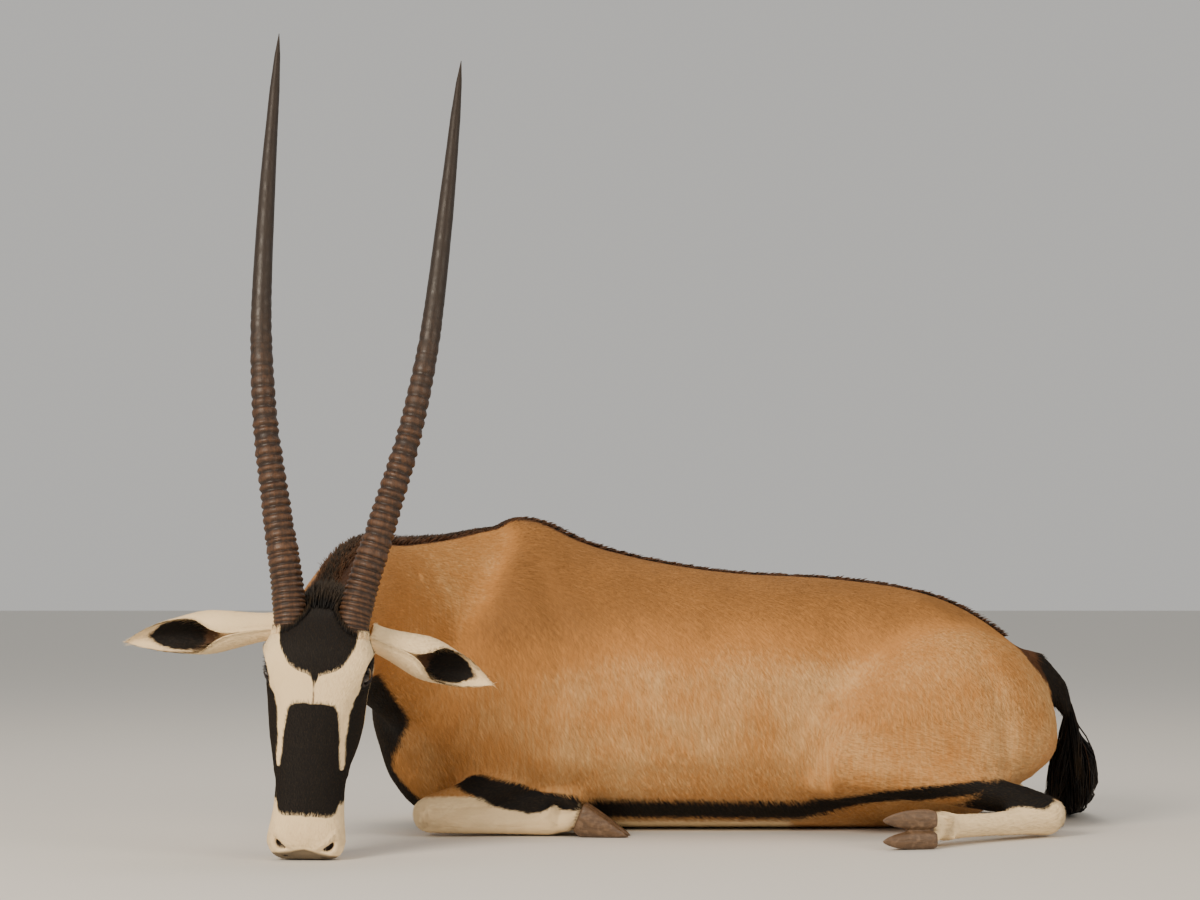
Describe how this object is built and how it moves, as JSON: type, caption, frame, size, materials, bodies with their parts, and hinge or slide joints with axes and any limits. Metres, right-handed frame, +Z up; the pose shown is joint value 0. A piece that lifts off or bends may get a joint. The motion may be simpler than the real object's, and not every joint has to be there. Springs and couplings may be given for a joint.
{
  "type": "gemsbok antelope, life-size lying model",
  "caption": "Life-size gemsbok lying on its chest and belly with folded legs, its head turned to its left, chin on the ground and long ringed horns upright.",
  "frame": {"origin": "on the ground, under the middle of the whole model's bounding box", "axes": "+X from the chest towards the rump, +Y from the animal's left side towards its right, +Z up"},
  "size_m": [1.6477, 1.0948, 1.3312],
  "materials": {
    "coat": "short tan fur",
    "neck_coat": "dark brown mane and fur",
    "leg_hair": "short pale fur",
    "face": "short white fur with black bands",
    "ear_skin": "thin skin with fine pale fur",
    "tail_hair": "long black hair",
    "horn": "worn horn",
    "hoof": "smooth dark horn",
    "eye": "wet and glossy"
  },
  "bodies": {
    "root": {"ear_left": "ear_skin", "ear_right": "ear_skin", "eye_left": "eye", "eye_right": "eye", "foreleg_left": "leg_hair", "foreleg_right": "leg_hair", "head": "face", "hindleg_left": "coat", "hindleg_right": "coat", "hoof_fore_left_inner": "hoof", "hoof_fore_left_outer": "hoof", "hoof_fore_right_inner": "hoof", "hoof_fore_right_outer": "hoof", "hoof_hind_left_inner": "hoof", "hoof_hind_left_outer": "hoof", "hoof_hind_right_inner": "hoof", "hoof_hind_right_outer": "hoof", "horn_left": "horn", "horn_right": "horn", "neck_lower": "neck_coat", "neck_upper": "neck_coat", "tail": "tail_hair", "tail_tuft": "tail_hair", "torso": "coat"}
  },
  "joints": []
}
